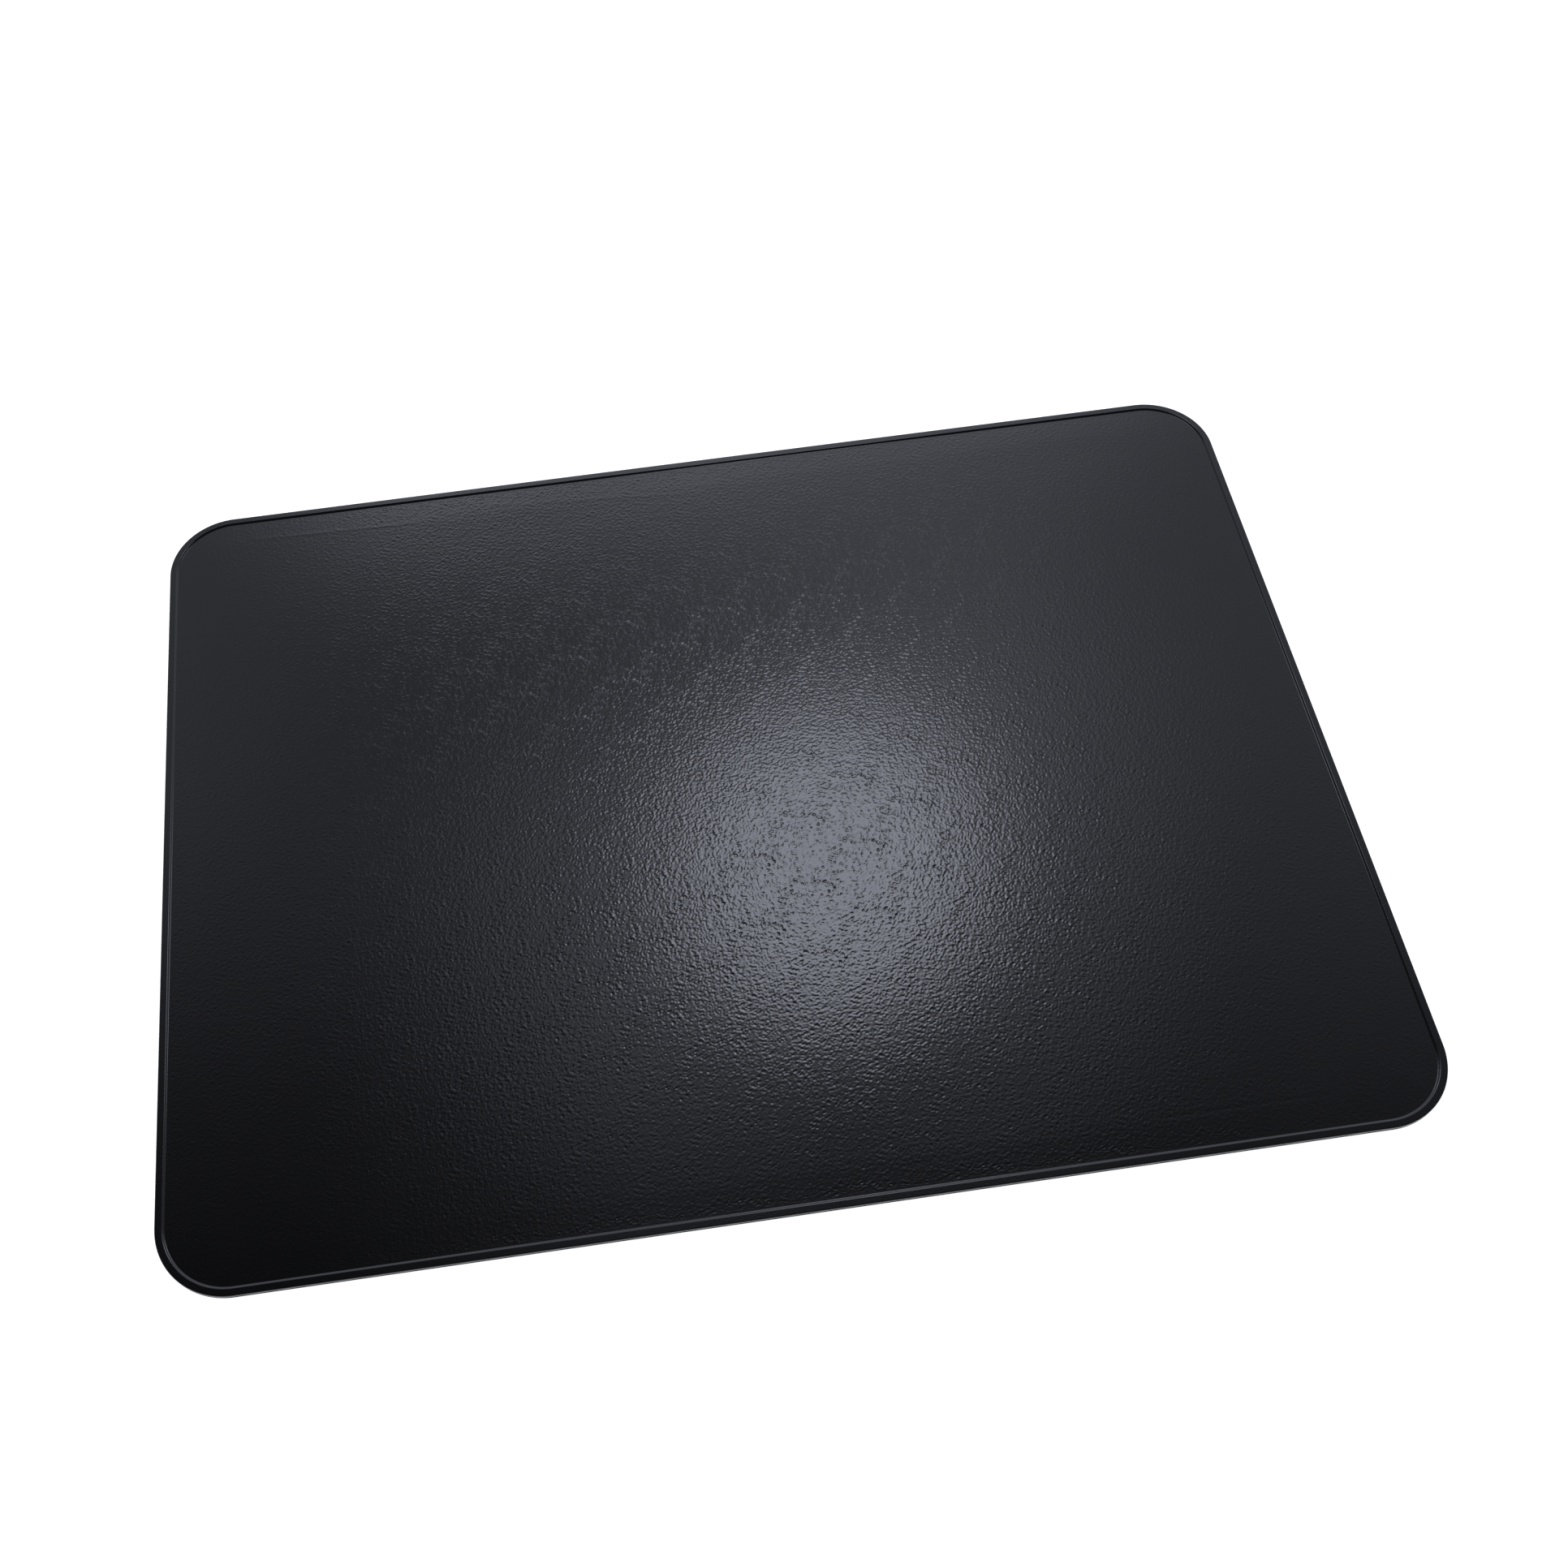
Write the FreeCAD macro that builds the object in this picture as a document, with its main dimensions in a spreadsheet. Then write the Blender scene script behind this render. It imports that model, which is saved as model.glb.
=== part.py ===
import FreeCAD, Part
import math
import os
import Sketcher
from FreeCAD import Vector

# Self healing cutting mat: five bonded plies, die-cut to one rounded outline.
# Frame: +X along the long side, +Y to the back, +Z up.
# Origin: centre of the mat on the plane it rests on.  Millimetres.

# Driving dimensions.  Every inset is measured inwards from the mat outline.
DIMENSIONS = [
    ("mat_length", 609.6),       # long side, 24 inches
    ("mat_width", 457.2),        # short side, 18 inches
    ("corner_radius", 36.5),     # outline corner
    ("skin_thick", 0.9),         # soft underside skin
    ("face_thick", 0.45),        # grained skin over the core
    ("backing_thick", 0.4),      # each thin ply next to the core
    ("core_thick", 0.3),         # stiff middle sheet
    ("core_inset", 9.0),         # edge of the core
    ("backing_inset", 0.2),      # the backing plies stop just short of the cut edge
    ("step_height", 0.55),       # the smooth rim stands this far above the grained field
    ("step_inset", 4.1),         # middle of the step between rim and field
    ("step_run", 2.0),           # width of the sloped step
    ("step_round", 1.6),         # rounding where the step meets the rim and the field
    ("arris_radius", 0.5),       # top outer edge
    ("foot_radius", 0.25),       # bottom outer edge
    ("seam_radius", 0.12),       # skin edges that face the seam in the side wall
]

# Heights (z) and insets that follow from the driving dimensions.
DERIVED = [
    ("lower_backing_z", "=skin_thick"),
    ("core_z", "=skin_thick + backing_thick"),
    ("rim_skin_z", "=skin_thick + 2 * backing_thick"),     # top skin's underside at the rim
    ("field_top_z", "=skin_thick + 2 * backing_thick + core_thick + face_thick"),
    ("rim_top_z", "=field_top_z + step_height"),
    ("step_high", "=step_inset - step_run / 2"),           # inset of the step's upper edge
    ("slope_start", "=step_inset + step_run / 2"),         # inset of the step's lower edge
]

# Sizes each outline is drawn at before its constraints set the real ones.
DRAFT_HALF_LENGTH = 300.0
DRAFT_HALF_WIDTH = 225.0
DRAFT_RADIUS = 30.0

HEIGHT_TOLERANCE = 0.001     # for picking edges by height
WALL_TOLERANCE = 0.01        # for picking edges by distance from the centre
MIN_FIELD_CUT = 100000       # mm3, the least the pressed field has to remove

doc = FreeCAD.newDocument("self_healing_mat")
sheet = doc.addObject("Spreadsheet::Sheet", "Dims")
for row, (alias, content) in enumerate(DIMENSIONS + DERIVED, start=1):
    sheet.set("A%d" % row, alias)
    sheet.set("B%d" % row, str(content))
    sheet.setAlias("B%d" % row, alias)
doc.recompute()


# ---------------------------------------------------------------- helpers
def outline_sketch(body, name, inset, z):
    """Rounded rectangle parallel to XY.  `inset` and `z` are expressions."""
    sketch = body.newObject("Sketcher::SketchObject", name)
    xy_plane = next(f for f in body.Origin.OriginFeatures if f.Role == "XY_Plane")
    sketch.AttachmentSupport = (xy_plane, [""])
    sketch.MapMode = "FlatFace"

    # Anticlockwise from the front side: each line is followed by the arc it runs into.
    centre_x = DRAFT_HALF_LENGTH - DRAFT_RADIUS
    centre_y = DRAFT_HALF_WIDTH - DRAFT_RADIUS
    centres = [Vector(-centre_x, -centre_y, 0), Vector(centre_x, -centre_y, 0),
               Vector(centre_x, centre_y, 0), Vector(-centre_x, centre_y, 0)]
    outward = [Vector(0, -1, 0), Vector(1, 0, 0), Vector(0, 1, 0), Vector(-1, 0, 0)]
    for i in range(4):
        offset = outward[i] * DRAFT_RADIUS
        centre = centres[(i + 1) % 4]
        circle = Part.Circle(centre, Vector(0, 0, 1), DRAFT_RADIUS)
        sketch.addGeometry(Part.LineSegment(centres[i] + offset, centre + offset), False)
        sketch.addGeometry(
            Part.ArcOfCircle(circle, (i - 1) * math.pi / 2, i * math.pi / 2), False)
    front, right, back, left = 0, 2, 4, 6
    first_arc = 1

    # In a constraint, 1 is a curve's start, 2 its end, and (-1, 1) the sketch origin.
    constraint = Sketcher.Constraint
    for i in range(8):
        sketch.addConstraint(constraint("Tangent", i, 2, (i + 1) % 8, 1))
    for side in (front, back):
        sketch.addConstraint(constraint("Horizontal", side))
    for side in (right, left):
        sketch.addConstraint(constraint("Vertical", side))
    for arc in (3, 5, 7):
        sketch.addConstraint(constraint("Equal", first_arc, arc))
    sketch.addConstraint(constraint("Symmetric", front, 1, back, 1, -1, 1))

    sizes = [
        ("length", constraint("DistanceX", left, 1, right, 1, 2 * DRAFT_HALF_LENGTH),
         "Dims.mat_length - 2 * (%s)"),
        ("width", constraint("DistanceY", front, 1, back, 1, 2 * DRAFT_HALF_WIDTH),
         "Dims.mat_width - 2 * (%s)"),
        ("corner", constraint("Radius", first_arc, DRAFT_RADIUS),
         "Dims.corner_radius - (%s)"),
    ]
    for size_name, size, _ in sizes:
        sketch.renameConstraint(sketch.addConstraint(size), size_name)
    for size_name, _, formula in sizes:
        sketch.setExpression("Constraints." + size_name, formula % inset)
    sketch.setExpression("AttachmentOffset.Base.z", z)
    return sketch


def pad(body, stem, inset, z, thickness):
    """Flat ply with its underside at `z`."""
    sketch = outline_sketch(body, stem + "Outline", inset, z)
    feature = body.newObject("PartDesign::Pad", stem + "Pad")
    feature.Profile = sketch
    feature.setExpression("Length", thickness)
    sketch.Visibility = False
    doc.recompute()
    return feature


def loft(body, kind, name, stem, low, high):
    """Straight-sided loft between two outlines, each given as (inset, z)."""
    low_sketch = outline_sketch(body, stem + "Low", *low)
    high_sketch = outline_sketch(body, stem + "High", *high)
    doc.recompute()
    feature = body.newObject("PartDesign::" + kind, name)
    feature.Profile = low_sketch
    feature.Sections = [high_sketch]
    feature.Ruled = True
    doc.recompute()
    return feature


def outline_edges(shape, z, inset):
    """Names of the edges at height z that follow the mat outline at `inset`."""
    half_x = float(sheet.mat_length) / 2 - inset
    half_y = float(sheet.mat_width) / 2 - inset
    names = []
    for i, edge in enumerate(shape.Edges, start=1):
        box = edge.BoundBox
        if max(abs(box.ZMin - z), abs(box.ZMax - z)) > HEIGHT_TOLERANCE:
            continue
        if isinstance(edge.Curve, Part.Circle):
            centre = edge.Curve.Center
            radius = edge.Curve.Radius
            found = (abs(abs(centre.x) + radius - half_x) < WALL_TOLERANCE
                     and abs(abs(centre.y) + radius - half_y) < WALL_TOLERANCE)
        else:
            middle = edge.valueAt((edge.FirstParameter + edge.LastParameter) / 2)
            found = (abs(abs(middle.x) - half_x) < WALL_TOLERANCE
                     or abs(abs(middle.y) - half_y) < WALL_TOLERANCE)
        if found:
            names.append("Edge%d" % i)
    return names


def fillet(body, name, base, z, radius, inset=0.0):
    """Round the edges of `base` at height z and the given inset."""
    feature = body.newObject("PartDesign::Fillet", name)
    feature.Base = (base, outline_edges(base.Shape, float(z), float(inset)))
    feature.setExpression("Radius", radius)
    doc.recompute()
    return feature


# ---------------------------------------------------------------- plies
def bottom_skin():
    """Soft PVC underside, flat, full outline, eased at the bench and at the seam."""
    body = doc.addObject("PartDesign::Body", "bottom_skin")
    ply = pad(body, "Bottom", "0", "0", "Dims.skin_thick")
    foot = fillet(body, "BottomFoot", ply, 0, "Dims.foot_radius")
    fillet(body, "BottomSeamEdge", foot, sheet.skin_thick, "Dims.seam_radius")
    return body


def lower_backing_layer():
    """Thin flat ply on the bottom skin."""
    body = doc.addObject("PartDesign::Body", "lower_backing_layer")
    pad(body, "Lower", "Dims.backing_inset", "Dims.lower_backing_z", "Dims.backing_thick")
    return body


def core_sheet():
    """Stiff sheet, smaller than the mat on every side."""
    body = doc.addObject("PartDesign::Body", "core_sheet")
    pad(body, "Core", "Dims.core_inset", "Dims.core_z", "Dims.core_thick")
    return body


def upper_backing_layer():
    """Lies on the core in the middle and on the lower backing at the rim:
    a shallow tray turned upside down."""
    body = doc.addObject("PartDesign::Body", "upper_backing_layer")
    pad(body, "Upper", "Dims.backing_inset", "Dims.core_z", "Dims.backing_thick")
    loft(body, "AdditiveLoft", "UpperRaise", "UpperRaise",
         low=("Dims.slope_start", "Dims.core_z + Dims.backing_thick"),
         high=("Dims.core_inset", "Dims.core_z + Dims.backing_thick + Dims.core_thick"))
    loft(body, "SubtractiveLoft", "UpperHollow", "UpperHollow",
         low=("Dims.slope_start", "Dims.core_z"),
         high=("Dims.core_inset", "Dims.core_z + Dims.core_thick"))
    return body


def top_skin():
    """Work face: a grained field pressed down inside a smooth rim, with a sloped
    step all round between them.  Thick along the rim, thin over the core."""
    body = doc.addObject("PartDesign::Body", "top_skin")
    ply = pad(body, "Top", "0", "Dims.rim_skin_z", "Dims.rim_top_z - Dims.rim_skin_z")
    field = loft(body, "SubtractiveLoft", "PressedField", "Field",
                 low=("Dims.slope_start", "Dims.field_top_z"),
                 high=("Dims.step_high", "Dims.rim_top_z"))
    if ply.Shape.Volume - field.Shape.Volume < MIN_FIELD_CUT:
        raise RuntimeError("the pressed field cut nothing")
    hollow = loft(body, "SubtractiveLoft", "TopHollow", "TopHollow",
                  low=("Dims.slope_start", "Dims.rim_skin_z"),
                  high=("Dims.core_inset", "Dims.rim_skin_z + Dims.core_thick"))

    arris = fillet(body, "TopArris", hollow, sheet.rim_top_z, "Dims.arris_radius")
    # The press rounds both edges of the step.
    upper = fillet(body, "StepUpper", arris, sheet.rim_top_z, "Dims.step_round",
                   inset=sheet.step_high)
    lower = fillet(body, "StepLower", upper, sheet.field_top_z, "Dims.step_round",
                   inset=sheet.slope_start)
    fillet(body, "TopSeamEdge", lower, sheet.rim_skin_z, "Dims.seam_radius")
    return body


bodies = [bottom_skin(), lower_backing_layer(), core_sheet(), upper_backing_layer(), top_skin()]
doc.recompute()

# ---------------------------------------------------------------- checks, export
faults = []
for item in doc.Objects:
    if "Invalid" in item.State or "Error" in item.State:
        faults.append("%s: %s" % (item.Name, item.State))
for body in bodies:
    shape = body.Shape
    if shape.isNull() or not shape.isValid() or len(shape.Solids) != 1:
        faults.append("%s: shape is null, invalid or not one solid" % body.Label)
if faults:
    raise RuntimeError("; ".join(faults))

os.makedirs("parts", exist_ok=True)
for body in bodies:
    body.Shape.exportStep(os.path.join("parts", body.Label + ".step"))
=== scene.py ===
import math

import bpy
import numpy as np
from mathutils import Matrix, Vector


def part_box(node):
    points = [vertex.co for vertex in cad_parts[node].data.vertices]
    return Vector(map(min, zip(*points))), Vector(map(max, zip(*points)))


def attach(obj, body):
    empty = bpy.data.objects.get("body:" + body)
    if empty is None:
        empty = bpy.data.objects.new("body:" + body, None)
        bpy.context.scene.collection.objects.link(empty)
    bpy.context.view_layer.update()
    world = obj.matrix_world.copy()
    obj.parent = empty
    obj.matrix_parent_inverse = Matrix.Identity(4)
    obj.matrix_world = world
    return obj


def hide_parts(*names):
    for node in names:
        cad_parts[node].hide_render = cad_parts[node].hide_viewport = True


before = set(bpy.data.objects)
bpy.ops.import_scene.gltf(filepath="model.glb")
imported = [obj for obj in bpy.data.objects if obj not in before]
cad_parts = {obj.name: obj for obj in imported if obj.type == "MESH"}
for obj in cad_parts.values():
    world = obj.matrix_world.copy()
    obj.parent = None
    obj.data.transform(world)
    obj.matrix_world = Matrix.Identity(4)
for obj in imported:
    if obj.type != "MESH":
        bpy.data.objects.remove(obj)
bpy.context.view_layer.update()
MM = 0.001

# ------------------------------------------------------------------ sizes, mm
lo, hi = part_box("top_skin")
HX, HY = hi.x / MM, hi.y / MM          # half length, half width of the mat
RIM_BASE, TOP = lo.z / MM, hi.z / MM   # underside of the skin at the rim, work face
RIM = TOP                              # the smooth rim stands proud of the field
FIELD = TOP - 0.55                     # level of the grained field
RC = 36.5                              # outline corner radius
STEP_AT, STEP_HALF = 3.99, 0.60         # step from rim to field: middle and half width, from the edge
ARRIS = 0.5                            # rounding of the top outer edge
GRID = 0.45                            # spacing of the relief grid in the field


# ------------------------------------------------------------------ embossing
# The embossing roller repeats on a staggered lattice.  Every layer of the
# relief is built in lattice coordinates, so that it repeats without a seam.
A1 = np.array([27.7, -19.8])
A2 = np.array([29.0, 19.8])
LAT = np.array([A1, A2])
INV = np.linalg.inv(LAT)               # (x, y) @ INV = (s, t)
REC = np.linalg.inv(LAT).T             # rows: reciprocal vectors, cycles per mm
N = 256


def lattice_noise(seed, gain):
    """Periodic noise with unit spread, filtered by gain(kx, ky) in cycles per mm."""
    rng = np.random.default_rng(seed)
    w = np.fft.fft2(rng.standard_normal((N, N)))
    m = np.fft.fftfreq(N, 1.0 / N)
    ms, mt = np.meshgrid(m, m, indexing="ij")
    kx = ms * REC[0, 0] + mt * REC[1, 0]
    ky = ms * REC[0, 1] + mt * REC[1, 1]
    g = gain(kx, ky)
    g[0, 0] = 0.0
    n = np.fft.ifft2(w * g).real
    return n / n.std()


def band(wave, width, stretch):
    """A ring of wavelengths round `wave` mm, drawn out along x by `stretch`."""
    def gain(kx, ky):
        k = np.sqrt((kx * stretch) ** 2 + ky ** 2) * wave
        return np.exp(-(np.log(np.maximum(k, 1e-6)) / width) ** 2)
    return gain


def low(wave, stretch=1.0):
    def gain(kx, ky):
        k2 = ((kx * stretch) ** 2 + ky ** 2) * wave * wave
        return np.exp(-k2)
    return gain


def smooth(a, b, v):
    u = np.clip((v - a) / (b - a), 0.0, 1.0)
    return u * u * (3.0 - 2.0 * u)


def relief_tile():
    """Height in mm over one lattice cell: level plateaus with creases and pits
    pressed into them, denser in some patches than in others."""
    wrinkle = lattice_noise(11, band(2.52, 0.12, 1.36))
    fine = lattice_noise(12, band(1.76, 0.30, 0.84))
    patch = lattice_noise(14, low(2.94))
    t = (wrinkle + 0.694 * fine) / math.hypot(1.0, 0.694)
    amount = 0.25 + 0.75 * smooth(-1.3, 1.0, patch)
    sharp = 6.75
    pressed = np.log1p(np.exp((t - 0.648 - 0.706 * patch) * sharp)) / sharp
    h = -0.0823 * pressed * amount + 0.0192 * t
    # soft PVC rounds every mark off
    m = np.fft.fftfreq(N, 1.0 / N)
    ms, mt = np.meshgrid(m, m, indexing="ij")
    kx = ms * REC[0, 0] + mt * REC[1, 0]
    ky = ms * REC[0, 1] + mt * REC[1, 1]
    k = np.sqrt(kx * kx + ky * ky)
    soft = np.exp(-2 * (math.pi * 0.125 * k) ** 2)
    # shading between the points of the grid flattens the finest marks, so they
    # are cut deeper by as much
    lost = np.sinc(2 * k * GRID) * np.sinc(k * GRID) ** 2
    return np.fft.ifft2(np.fft.fft2(h) * soft / np.maximum(lost, 0.52)).real


def depth(x, y):
    """Depth of the embossing, set to the grain contrast in the photo: less towards
    the two short ends, the back and the front.  The extra in the middle is a
    tuned value under the highlight, and may stand for a sharper lamp instead."""
    across = 1.0 - smooth(110.0, 300.0, np.abs(x))
    back = smooth(40.0, 225.0, y)
    front = smooth(70.0, 225.0, -y)
    middle = np.exp(-((x - 20.0) / 95.0) ** 2 - ((y + 45.0) / 75.0) ** 2)
    return (0.44 + 0.92 * across + 0.34 * middle) * (1.0 - 0.50 * back) * (1.0 - 0.50 * front)


def sample(tile, x, y):
    """Bicubic (Catmull-Rom) reading of a lattice tile at x, y in mm."""
    s = (x * INV[0, 0] + y * INV[1, 0]) * N
    t = (x * INV[0, 1] + y * INV[1, 1]) * N
    i, j = np.floor(s).astype(np.int64), np.floor(t).astype(np.int64)
    fs, ft = s - i, t - j

    def weights(f):
        return ((-0.5 * f + f * f - 0.5 * f ** 3), (1 - 2.5 * f * f + 1.5 * f ** 3),
                (0.5 * f + 2 * f * f - 1.5 * f ** 3), (-0.5 * f * f + 0.5 * f ** 3))
    ws, wt = weights(fs), weights(ft)
    out = np.zeros_like(x)
    for a in range(4):
        row = np.zeros_like(x)
        ia = (i + a - 1) % N
        for b in range(4):
            row += wt[b] * tile[ia, (j + b - 1) % N]
        out += ws[a] * row
    return out


# ------------------------------------------------------------------ edge profile
def rim_profile():
    """(inset, z) in mm from the skin's lower outer edge, up the side wall, over
    the arris and the rim, and down the step on to the field."""
    pts = [(0.12, RIM_BASE), (0.045, RIM_BASE + 0.03), (0.0, RIM_BASE + 0.11),
           (0.0, RIM_BASE + 0.34), (0.0, RIM_BASE + 0.55)]
    for a in (0, 15, 30, 45, 60, 75, 90):
        t = math.radians(a)
        pts.append((ARRIS * (1 - math.cos(t)), RIM - ARRIS * (1 - math.sin(t))))
    inset = ARRIS + 0.22
    while inset < 11.0:
        pts.append((inset, None))
        inset += 0.16 if 2.6 < inset < 5.8 else 0.25
    return pts


def surface_z(inset):
    """Height of the smooth top surface against the distance from the edge: the
    step is steepest in its middle and eases out at both ends."""
    u = np.clip((inset - STEP_AT) / STEP_HALF, -1.0, 1.0)
    return RIM - (RIM - FIELD) * (0.5 + (u - u ** 5 / 5.0) / 1.6)


def top_skin():
    prof = rim_profile()
    ins = np.array([p[0] for p in prof])
    zz = np.array([np.nan if p[1] is None else p[1] for p in prof])
    gap = np.isnan(zz)
    zz[gap] = surface_z(ins[gap])
    # travel along the profile: the corner mapping needs a strictly rising value
    along = np.concatenate([[0.0], np.cumsum(np.hypot(np.diff(ins), np.diff(zz)))])
    # keep going at field spacing up to the start of the corner arc's centre
    extra = np.arange(ins[-1] + GRID, RC - 0.3 * GRID, GRID)
    ins_b = np.concatenate([ins, extra, [RC]])
    along_b = np.concatenate([along, along[-1] + (extra - ins[-1]), [along[-1] + RC - ins[-1]]])
    z_b = np.concatenate([zz, surface_z(extra), surface_z(np.array([RC]))])
    P_R = along_b[-1]

    def axis(half):
        mid = 2 * (half - RC)
        n = int(round(mid / GRID))
        inner = np.linspace(-half + RC, half - RC, n + 1)[1:-1]
        coord = np.concatenate([-half + ins_b, inner, (half - ins_b)[::-1]])
        way = np.concatenate([along_b, np.full(len(inner), np.inf), along_b[::-1]])
        return coord, way

    cx, wx = axis(HX)
    cy, wy = axis(HY)
    nx, ny = len(cx), len(cy)
    X, Y = np.meshgrid(cx, cy, indexing="ij")
    WX, WY = np.meshgrid(wx, wy, indexing="ij")
    W = np.minimum(WX, WY)
    inset = np.interp(np.minimum(W, P_R), along_b, ins_b)
    Z = np.interp(np.minimum(W, P_R), along_b, z_b)
    deep = W > P_R
    Z[deep] = FIELD
    # corners: squares about the arc's centre become rings about it
    corner = (WX < P_R) & (WY < P_R)
    vx, vy = P_R - WX[corner], P_R - WY[corner]
    big, small = np.maximum(vx, vy), np.minimum(vx, vy)
    ang = (math.pi / 4) * small / np.maximum(big, 1e-9)
    ang = np.where(vx >= vy, ang, math.pi / 2 - ang)
    rad = RC - inset[corner]
    sx, sy = np.sign(X[corner]), np.sign(Y[corner])
    X[corner] = sx * (HX - RC + rad * np.cos(ang))
    Y[corner] = sy * (HY - RC + rad * np.sin(ang))

    # distance from the edge for every point, for the fades
    edge = np.where(deep, 40.0, inset)
    tile = relief_tile()
    h = sample(tile, X.ravel(), Y.ravel()).reshape(X.shape)
    fade = smooth(STEP_AT + 0.5, STEP_AT + 2.8, edge)
    h = h * fade * depth(X, Y)
    # long, shallow swells of a sheet that lies loose (invented)
    swell = (0.05 * np.sin(X / 61.0 + 0.6) * np.cos(Y / 47.0 + 1.1)
             + 0.025 * np.sin(X / 23.0 - Y / 37.0 + 2.0))
    h = h + swell * smooth(8.0, 40.0, np.minimum(np.minimum(HX - np.abs(X), HY - np.abs(Y)), 60.0))
    # the border of the field falls away towards the step: inferred from the
    # brightness along the back and front edges
    droop = 0.05 - 0.007 * 1.5 * np.log1p(np.exp((19.0 - edge) / 1.5))
    h = h + droop * smooth(STEP_AT - STEP_HALF, STEP_AT + STEP_HALF, edge)
    # faint creases at the places where the photo shows them; their cause is unknown

    def crease(off, span):
        return np.exp(-(off / 1.0) ** 2) * span
    h = h + 0.020 * crease(HY - Y - 17.0 - 0.033 * (X + 261.0), smooth(-275, -240, X) * (1 - smooth(-172, -155, X)))
    h = h + 0.012 * crease(HY - Y - 13.6 - 0.083 * (X + 127.0), smooth(-140, -115, X) * (1 - smooth(-40, 10, X)))
    h = h - 0.016 * crease(HY + Y - 20.6, smooth(150, 180, X) * (1 - smooth(225, 255, X)))
    h = h - 0.010 * crease(HY + Y - 17.0 - 0.1 * (X - 60.0), smooth(25, 50, X) * (1 - smooth(80, 110, X)))
    Z = Z + h
    return X, Y, Z, prof


def build_top_skin():
    X, Y, Z, prof = top_skin()
    nx, ny = X.shape
    co = np.stack([X, Y, Z], -1).reshape(-1, 3)
    idx = np.arange(nx * ny).reshape(nx, ny)
    quads = np.stack([idx[:-1, :-1], idx[1:, :-1], idx[1:, 1:], idx[:-1, 1:]], -1).reshape(-1, 4)
    # underside: the loop goes in along the rim, up the slope and across
    loop = np.concatenate([idx[:-1, 0], idx[-1, :-1], idx[:0:-1, -1], idx[0, :0:-1]])
    n = len(loop)
    base = co[loop]
    rings = []
    for inset, z in ((5.2, RIM_BASE), (9.0, RIM_BASE + 0.4)):
        r = (RC - inset) / (RC - 0.12)
        q = base.copy()
        mx, my = HX - RC, HY - RC
        ax, ay = np.clip(q[:, 0], -mx, mx), np.clip(q[:, 1], -my, my)
        q[:, 0] = ax + (q[:, 0] - ax) * r
        q[:, 1] = ay + (q[:, 1] - ay) * r
        q[:, 2] = z
        rings.append(q)
    start = len(co)
    co = np.concatenate([co] + rings)
    r1, r2 = start + np.arange(n), start + n + np.arange(n)
    nxt = np.roll(np.arange(n), -1)
    side1 = np.stack([loop[nxt], loop, r1, r1[nxt]], -1)
    side2 = np.stack([r1[nxt], r1, r2, r2[nxt]], -1)
    faces = np.concatenate([quads, side1, side2])
    cap = r2[::-1]
    me = bpy.data.meshes.new("work_face_skin")
    me.vertices.add(len(co))
    me.vertices.foreach_set("co", (co * MM).astype(np.float32).ravel())
    loops = np.concatenate([faces.ravel(), cap])
    me.loops.add(len(loops))
    me.loops.foreach_set("vertex_index", loops.astype(np.int32))
    nf = len(faces)
    me.polygons.add(nf + 1)
    starts = np.concatenate([np.arange(nf) * 4, [nf * 4]]).astype(np.int32)
    me.polygons.foreach_set("loop_start", starts)
    me.update(calc_edges=True)
    me.validate()
    me.shade_smooth()
    # the flat underside cap keeps its own flat shading
    me.polygons[nf].use_smooth = False
    ob = bpy.data.objects.new("work_face_skin", me)
    bpy.context.scene.collection.objects.link(ob)
    return ob


# ------------------------------------------------------------------ ring solids
def ring_solid(name, profile, seg=40, run=24):
    """A closed plate: the profile of (inset, z) carried round the outline and
    capped above and below.  seg steps to a corner, run steps to a side."""
    mx, my = HX - RC, HY - RC
    path = []
    for (ccx, ccy, a0) in ((mx, -my, -90), (mx, my, 0), (-mx, my, 90), (-mx, -my, 180)):
        for k in range(seg + 1):
            a = math.radians(a0 + 90.0 * k / seg)
            path.append((ccx, ccy, math.cos(a), math.sin(a)))
        nxt = {-90: (mx, my), 0: (-mx, my), 90: (-mx, -my), 180: (mx, -my)}[a0]
        a = math.radians(a0 + 90.0)
        for k in range(1, run):
            f = k / run
            path.append((ccx + (nxt[0] - ccx) * f, ccy + (nxt[1] - ccy) * f, math.cos(a), math.sin(a)))
    n = len(path)
    co, faces = [], []
    for inset, z in profile:
        r = RC - inset
        co += [((px + r * ux) * MM, (py + r * uy) * MM, z * MM) for px, py, ux, uy in path]
    m = len(profile)
    for j in range(m - 1):
        for i in range(n):
            k = (i + 1) % n
            faces.append((j * n + i, j * n + k, (j + 1) * n + k, (j + 1) * n + i))
    faces.append(tuple(reversed(range(n))))
    faces.append(tuple((m - 1) * n + i for i in range(n)))
    me = bpy.data.meshes.new(name)
    me.from_pydata(co, [], faces)
    me.validate()
    me.shade_smooth()
    me.set_sharp_from_angle(angle=math.radians(40))
    ob = bpy.data.objects.new(name, me)
    bpy.context.scene.collection.objects.link(ob)
    return ob


# ------------------------------------------------------------------ materials
def new_material(name):
    m = bpy.data.materials.new(name)
    m.use_nodes = True
    nt = m.node_tree
    nt.nodes.clear()
    out = nt.nodes.new("ShaderNodeOutputMaterial")
    bsdf = nt.nodes.new("ShaderNodeBsdfPrincipled")
    nt.links.new(bsdf.outputs["BSDF"], out.inputs["Surface"])
    return m, nt, bsdf


def node(nt, kind, **inputs):
    n = nt.nodes.new(kind)
    for k, v in inputs.items():
        n.inputs[k.replace("_", " ")].default_value = v
    return n


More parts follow.
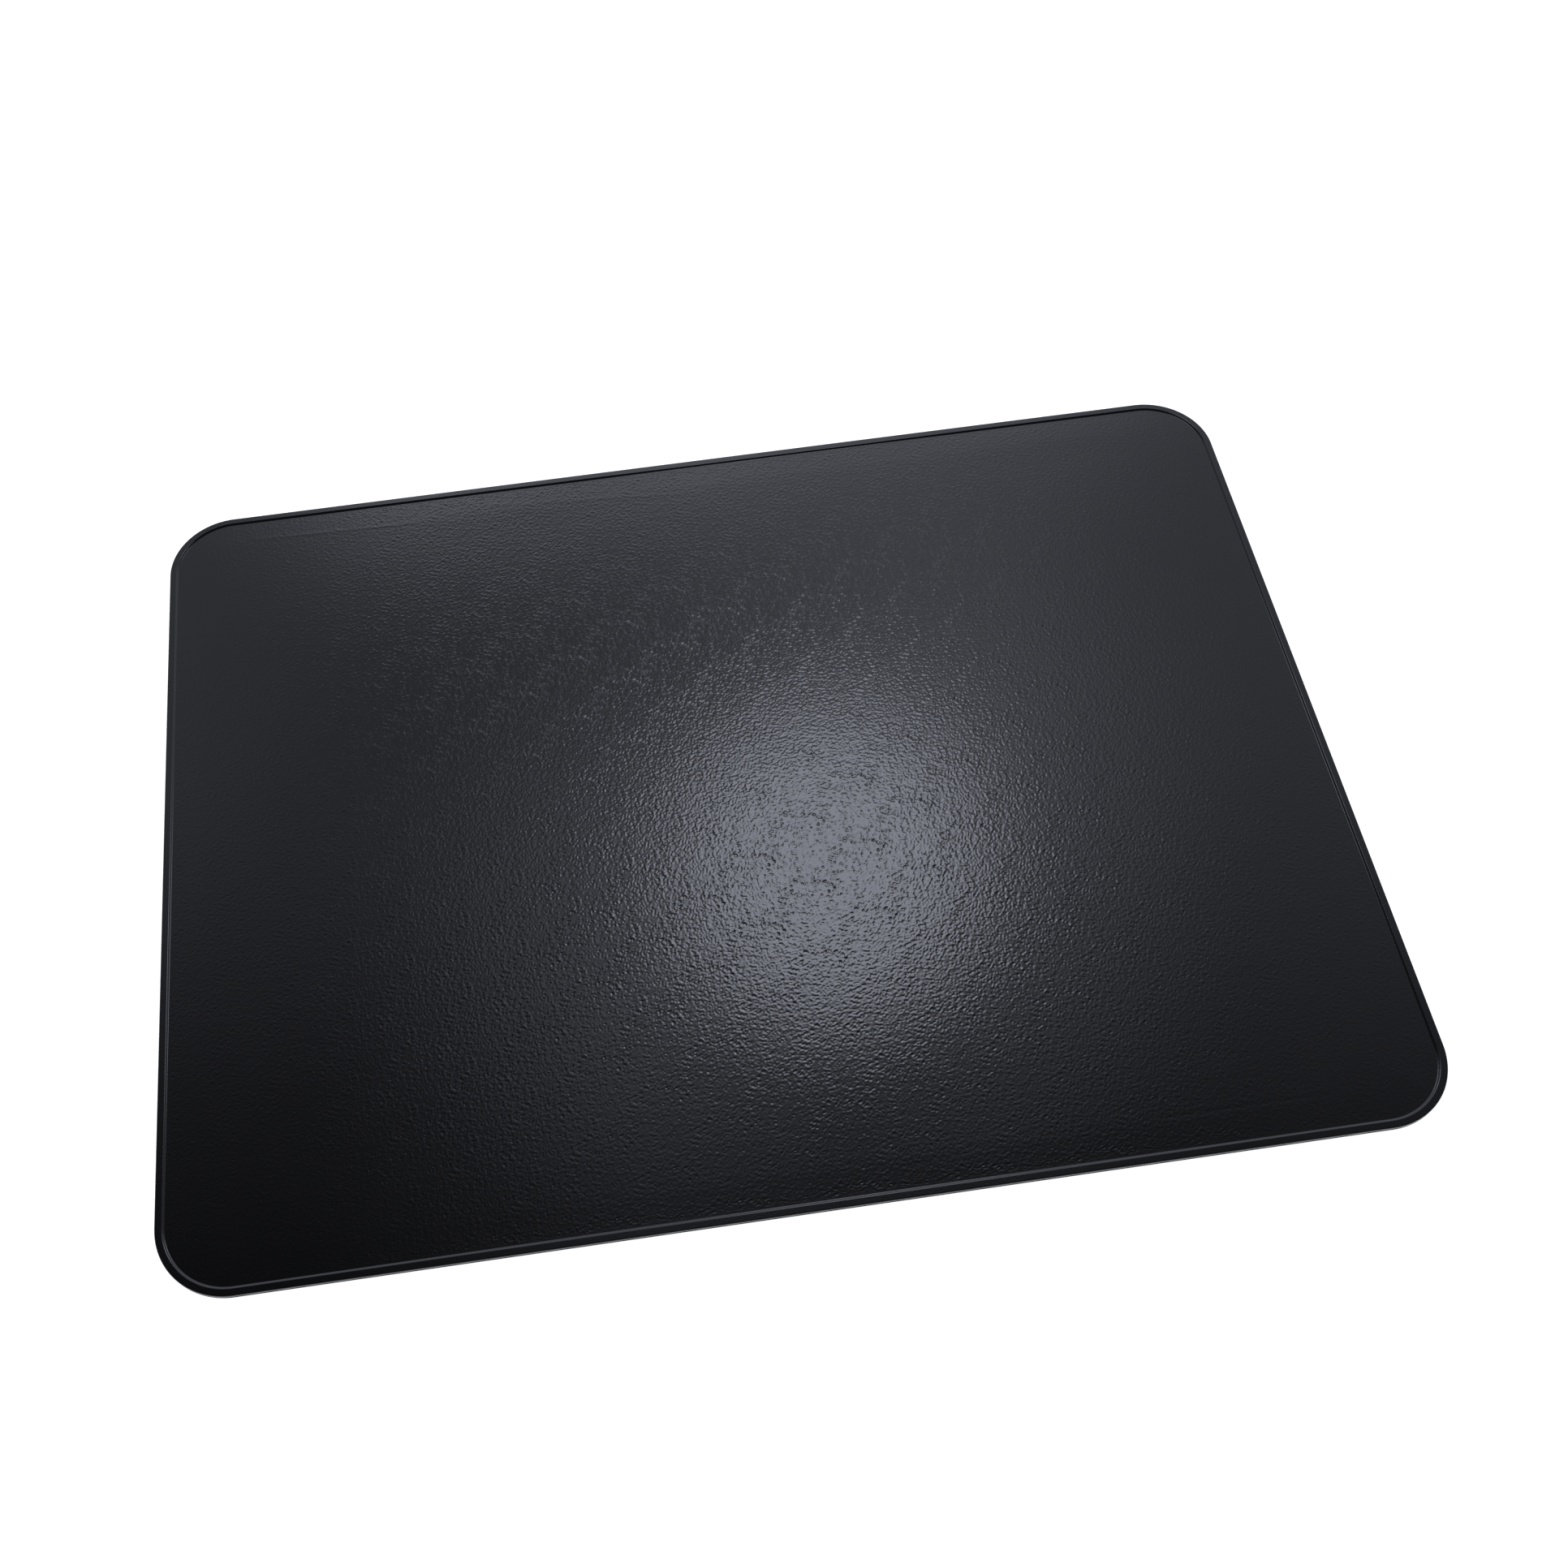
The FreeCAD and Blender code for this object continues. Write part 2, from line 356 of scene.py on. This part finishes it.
def noise(nt, coord, scale, detail=2.0, rough=0.5, lacunarity=2.0):
    n = nt.nodes.new("ShaderNodeTexNoise")
    n.inputs["Scale"].default_value = scale
    n.inputs["Detail"].default_value = detail
    n.inputs["Roughness"].default_value = rough
    n.inputs["Lacunarity"].default_value = lacunarity
    nt.links.new(coord, n.inputs["Vector"])
    return n.outputs["Fac"]


def remap(nt, value, a, b, c, d, smoothed=False):
    n = nt.nodes.new("ShaderNodeMapRange")
    n.clamp = True
    if smoothed:
        n.interpolation_type = "SMOOTHSTEP"
    for k, v in (("From Min", a), ("From Max", b), ("To Min", c), ("To Max", d)):
        n.inputs[k].default_value = v
    nt.links.new(value, n.inputs["Value"])
    return n.outputs["Result"]


def math_node(nt, op, a, b=None, clamp=False):
    n = nt.nodes.new("ShaderNodeMath")
    n.operation = op
    n.use_clamp = clamp
    for i, v in enumerate((a, b)):
        if v is None:
            continue
        if isinstance(v, (int, float)):
            n.inputs[i].default_value = v
        else:
            nt.links.new(v, n.inputs[i])
    return n.outputs[0]


def mix_colour(nt, fac, a, b):
    n = nt.nodes.new("ShaderNodeMix")
    n.data_type = "RGBA"
    if isinstance(fac, (int, float)):
        n.inputs[0].default_value = fac
    else:
        nt.links.new(fac, n.inputs[0])
    for i, v in ((6, a), (7, b)):
        if isinstance(v, tuple):
            n.inputs[i].default_value = (*v, 1.0)
        else:
            nt.links.new(v, n.inputs[i])
    return n.outputs[2]


def skin_material():
    """Soft black PVC: near-black, satin, with fine pores in the embossing."""
    m, nt, bsdf = new_material("grained_black_pvc")
    co = nt.nodes.new("ShaderNodeNewGeometry").outputs["Position"]
    fine = noise(nt, co, 900.0, 3.0, 0.6)
    pores = nt.nodes.new("ShaderNodeTexVoronoi")
    pores.inputs["Scale"].default_value = 620.0
    pores.inputs["Randomness"].default_value = 1.0
    nt.links.new(co, pores.inputs["Vector"])
    cloud = noise(nt, co, 14.0, 3.0, 0.55)
    handling = noise(nt, co, 55.0, 4.0, 0.6)
    # colour: neutral black with a slight blue cast, a little paler where handled
    shade = mix_colour(nt, remap(nt, cloud, 0.35, 0.7, 0.0, 1.0), (0.0026, 0.0026, 0.0028), (0.0036, 0.0036, 0.0038))
    nt.links.new(shade, bsdf.inputs["Base Color"])
    rough = math_node(nt, "ADD", remap(nt, handling, 0.3, 0.75, 0.088, 0.108), remap(nt, fine, 0.3, 0.7, -0.008, 0.012))
    nt.links.new(rough, bsdf.inputs["Roughness"])
    bsdf.inputs["IOR"].default_value = 1.5
    # pores and micro roughness, finer than the embossed relief of the mesh
    pore = remap(nt, pores.outputs["Distance"], 0.05, 0.42, -1.0, 0.0, True)
    height = math_node(nt, "ADD", math_node(nt, "MULTIPLY", pore, 0.010), math_node(nt, "MULTIPLY", fine, 0.012))
    bump = nt.nodes.new("ShaderNodeBump")
    bump.inputs["Strength"].default_value = 1.0
    bump.inputs["Distance"].default_value = MM
    nt.links.new(height, bump.inputs["Height"])
    nt.links.new(bump.outputs["Normal"], bsdf.inputs["Normal"])
    return m


def edge_material(name, base, rough, grain):
    """Cut ply edge or plain face: matt, with fine scratches along the cut."""
    m, nt, bsdf = new_material(name)
    co = nt.nodes.new("ShaderNodeNewGeometry").outputs["Position"]
    streak = nt.nodes.new("ShaderNodeMapping")
    streak.inputs["Scale"].default_value = (60.0, 60.0, 2600.0)
    nt.links.new(co, streak.inputs["Vector"])
    lines = noise(nt, streak.outputs["Vector"], 1.0, 3.0, 0.6)
    speck = noise(nt, co, 420.0, 3.0, 0.6)
    bright = remap(nt, speck, 0.66, 0.78, 0.0, 1.0, True)
    shade = mix_colour(nt, remap(nt, lines, 0.35, 0.65, 0.0, 1.0), base, tuple(c * 1.5 for c in base))
    shade = mix_colour(nt, math_node(nt, "MULTIPLY", bright, 0.25), shade, (0.12, 0.12, 0.12))
    nt.links.new(shade, bsdf.inputs["Base Color"])
    nt.links.new(remap(nt, speck, 0.3, 0.7, rough - 0.06, rough + 0.08), bsdf.inputs["Roughness"])
    bsdf.inputs["IOR"].default_value = 1.5
    bump = nt.nodes.new("ShaderNodeBump")
    bump.inputs["Distance"].default_value = MM
    nt.links.new(math_node(nt, "MULTIPLY", math_node(nt, "ADD", speck, lines), grain), bump.inputs["Height"])
    nt.links.new(bump.outputs["Normal"], bsdf.inputs["Normal"])
    return m


def set_material(ob, m):
    ob.data.materials.clear()
    ob.data.materials.append(m)


skin = build_top_skin()
set_material(skin, skin_material())
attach(skin, "root")
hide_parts("top_skin")


def rounded(inset, z0, z1, low_r, high_r):
    """Side profile of a plate with eased edges, from the bottom to the top."""
    pts = []
    for a in (0, 22.5, 45, 67.5, 90):
        t = math.radians(a)
        pts.append((inset + low_r * (1 - math.sin(t)), z0 + low_r * (1 - math.cos(t))))
    for a in (0, 30, 60, 90):
        t = math.radians(a)
        pts.append((inset + high_r * (1 - math.cos(t)), z1 - high_r * (1 - math.sin(t))))
    return pts


def z_of(name):
    a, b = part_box(name)
    return a.z / MM, b.z / MM


bz = z_of("bottom_skin")
bottom = ring_solid("underside_skin", rounded(0.0, bz[0], bz[1], 0.25, 0.12))
set_material(bottom, edge_material("plain_black_pvc", (0.0065, 0.0065, 0.007), 0.42, 0.012))
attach(bottom, "root")
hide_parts("bottom_skin")

lz = z_of("lower_backing_layer")
lower = ring_solid("lower_backing", rounded(0.2, lz[0], lz[1], 0.05, 0.05))
backing = edge_material("backing_film", (0.009, 0.009, 0.0095), 0.5, 0.010)
set_material(lower, backing)
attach(lower, "root")
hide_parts("lower_backing_layer")

for name, mat in (("upper_backing_layer", backing),
                  ("core_sheet", edge_material("stiff_core", (0.03, 0.03, 0.031), 0.5, 0.008))):
    set_material(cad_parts[name], mat)

# ------------------------------------------------------------------ floor
me = bpy.data.meshes.new("floor")
S = 40.0
me.from_pydata([(-S, -S, -2e-5), (S, -S, -2e-5), (S, S, -2e-5), (-S, S, -2e-5)], [], [(0, 1, 2, 3)])
floor = bpy.data.objects.new("floor", me)
bpy.context.scene.collection.objects.link(floor)
m, nt, bsdf = new_material("pale_floor")
bsdf.inputs["Base Color"].default_value = (0.92, 0.92, 0.92, 1)
bsdf.inputs["Roughness"].default_value = 0.9
bsdf.inputs["Specular IOR Level"].default_value = 0.0
bsdf.inputs["Emission Color"].default_value = (1.0, 1.0, 1.0, 1)
bsdf.inputs["Emission Strength"].default_value = 0.8
set_material(floor, m)

# ------------------------------------------------------------------ light
TINT = (0.950, 0.995, 1.150)           # the studio light is a little blue
scene = bpy.context.scene
world = bpy.data.worlds.new("studio")
scene.world = world
world.use_nodes = True
nt = world.node_tree
nt.nodes.clear()
out = nt.nodes.new("ShaderNodeOutputWorld")
geo = nt.nodes.new("ShaderNodeNewGeometry")
# Incoming points from the sky to the eye, so the way looked at has its sign turned
look = nt.nodes.new("ShaderNodeVectorMath")
look.operation = "SCALE"
look.inputs["Scale"].default_value = -1.0
nt.links.new(geo.outputs["Incoming"], look.inputs[0])
sep = nt.nodes.new("ShaderNodeSeparateXYZ")
nt.links.new(look.outputs[0], sep.inputs[0])


def towards(az, el):
    """Unit vector at `az` degrees from +Y towards +X and `el` degrees up."""
    a, e = math.radians(az), math.radians(el)
    return (math.cos(e) * math.sin(a), math.cos(e) * math.cos(a), math.sin(e))


# pale walls low down, dark ceiling
FLOOR_LEVEL, WALL_TOP, WALL_SOFT, CEILING = 0.986, 36.3, 4.20, 0.034
# soft glows: strength, azimuth, elevation, spread in degrees
GLOWS = [(0.378, 10.2, 40.7, 6.0), (1.10, 19.6, 56.6, 4.6), (0.500, -26.8, 50.0, 7.7),
         (0.520, 41.2, 47.5, 10.7), (1.40, 4.5, 44.6, 4.0), (1.05, 18.1, 41.5, 4.4),
         (0.393, 1.3, 61.2, 4.8), (1.90, -7.4, 43.9, 3.4), (0.499, 0.6, 60.2, 4.5), (0.12, -0.1, 73.3, 6.1),
         (0.36, -1.5, 66.3, 4.0), (0.50, 25.0, 64.2, 4.0)]
height = math_node(nt, "MULTIPLY", math_node(nt, "ARCSINE", sep.outputs["Z"]), 180.0 / math.pi)
fall = math_node(nt, "EXPONENT", math_node(nt, "MULTIPLY", math_node(nt, "SUBTRACT", height, WALL_TOP), 1.0 / WALL_SOFT))
sky = math_node(nt, "ADD", math_node(nt, "DIVIDE", FLOOR_LEVEL - CEILING, math_node(nt, "ADD", fall, 1.0)), CEILING)
for strength, az, elv, spread in GLOWS:
    k = 1.0 / math.radians(spread) ** 2
    d = nt.nodes.new("ShaderNodeVectorMath")
    d.operation = "DOT_PRODUCT"
    d.inputs[1].default_value = towards(az, elv)
    nt.links.new(look.outputs[0], d.inputs[0])
    lobe = math_node(nt, "EXPONENT", math_node(nt, "MULTIPLY", math_node(nt, "SUBTRACT", d.outputs["Value"], 1.0), k))
    sky = math_node(nt, "ADD", sky, math_node(nt, "MULTIPLY", lobe, strength))
lp = nt.nodes.new("ShaderNodeLightPath")
bg_seen = nt.nodes.new("ShaderNodeBackground")
bg_seen.inputs["Color"].default_value = (1.0, 1.0, 1.0, 1)
bg_seen.inputs["Strength"].default_value = 1.0
bg_light = nt.nodes.new("ShaderNodeBackground")
tint = nt.nodes.new("ShaderNodeCombineColor")
nt.links.new(math_node(nt, "MULTIPLY", sky, TINT[0]), tint.inputs[0])
nt.links.new(math_node(nt, "MULTIPLY", sky, TINT[1]), tint.inputs[1])
nt.links.new(math_node(nt, "MULTIPLY", sky, TINT[2]), tint.inputs[2])
nt.links.new(tint.outputs[0], bg_light.inputs["Color"])
mixs = nt.nodes.new("ShaderNodeMixShader")
nt.links.new(lp.outputs["Is Camera Ray"], mixs.inputs[0])
nt.links.new(bg_light.outputs[0], mixs.inputs[1])
nt.links.new(bg_seen.outputs[0], mixs.inputs[2])
nt.links.new(mixs.outputs[0], out.inputs["Surface"])


def area(name, loc, aim, size, radiance, shape="DISK", size_y=None, glossy=True, colour=(1, 1, 1)):
    d = bpy.data.lights.new(name, "AREA")
    d.shape = shape
    d.size = size
    if size_y:
        d.size_y = size_y
    a = math.pi * size * size / 4 if shape == "DISK" else size * (size_y or size)
    d.energy = radiance * math.pi * a * max(1.0, 1.15 if colour[0] < 1 else 1.0)
    d.color = colour
    o = bpy.data.objects.new(name, d)
    o.location = loc
    o.rotation_mode = "QUATERNION"
    o.rotation_quaternion = (Vector(aim) - Vector(loc)).to_track_quat("-Z", "Y")
    o.visible_glossy = glossy
    scene.collection.objects.link(o)
    return o


def soft_edged(light, half, radius, blur):
    """Fade a square area light out round a disk: full inside, gone at the rim."""
    light.data.use_nodes = True
    nt = light.data.node_tree
    nt.nodes.clear()
    out = nt.nodes.new("ShaderNodeOutputLight")
    em = nt.nodes.new("ShaderNodeEmission")
    uv = nt.nodes.new("ShaderNodeNewGeometry").outputs["Parametric"]
    mid = nt.nodes.new("ShaderNodeVectorMath")
    mid.operation = "SUBTRACT"
    mid.inputs[1].default_value = (0.5, 0.5, 0.0)
    nt.links.new(uv, mid.inputs[0])
    flat = nt.nodes.new("ShaderNodeVectorMath")
    flat.operation = "MULTIPLY"
    flat.inputs[1].default_value = (2 * half, 2 * half, 0.0)
    nt.links.new(mid.outputs[0], flat.inputs[0])
    dist = nt.nodes.new("ShaderNodeVectorMath")
    dist.operation = "LENGTH"
    nt.links.new(flat.outputs[0], dist.inputs[0])
    nt.links.new(remap(nt, dist.outputs["Value"], radius - 1.8 * blur, radius + 1.8 * blur, 1.0, 0.0, True),
                 em.inputs["Strength"])
    nt.links.new(em.outputs[0], out.inputs["Surface"])


spot = Vector((0.038, -0.040, 0.003))
way = Vector(towards(13.39, 61.65))
box = area("softbox", spot + way * 1.5, spot, 0.66, 4.18, shape="SQUARE", colour=tuple(c / TINT[2] for c in TINT))
soft_edged(box, 0.33, 0.203, 0.052)
area("fill", (-0.6, -0.9, 2.6), (0, 0, 0), 2.6, 0.25, glossy=False)
area("fill_back", (0.5, 1.6, 2.4), (0, 0.2, 0), 2.6, 0.15, glossy=False)

# ------------------------------------------------------------------ camera
cam_data = bpy.data.cameras.new("camera")
cam = bpy.data.objects.new("camera", cam_data)
scene.collection.objects.link(cam)
scene.camera = cam
RIGHT = Vector((0.99014792, -0.13627028, -0.03221052))
DOWN = Vector((-0.1349331, -0.86708044, -0.47954621))
AHEAD = Vector((0.03741879, 0.47916795, -0.87692526))
cam.matrix_world = Matrix((
    (RIGHT.x, -DOWN.x, -AHEAD.x, -0.06165),
    (RIGHT.y, -DOWN.y, -AHEAD.y, -0.44123),
    (RIGHT.z, -DOWN.z, -AHEAD.z, 0.73201),
    (0, 0, 0, 1)))
cam_data.sensor_width = 36.0
cam_data.lens = 2008.147 / 1932 * 36.0
cam_data.shift_y = (1068.0 - 966.0) / 1932
cam_data.clip_start, cam_data.clip_end = 0.01, 100.0
# the lens is set off axis for this one standpoint only
drv = cam_data.driver_add("shift_x").driver
drv.type = "SCRIPTED"
var = drv.variables.new()
var.name = "px"
var.type = "TRANSFORMS"
var.targets[0].id = cam
var.targets[0].transform_type = "LOC_X"
var.targets[0].transform_space = "WORLD_SPACE"
drv.expression = "%.6f if abs(px + 0.06165) < 0.001 else 0.0" % ((966.0 - 862.496) / 1932)

scene.cycles.use_denoising = False
scene.view_settings.view_transform = "Standard"
scene.view_settings.look = "None"
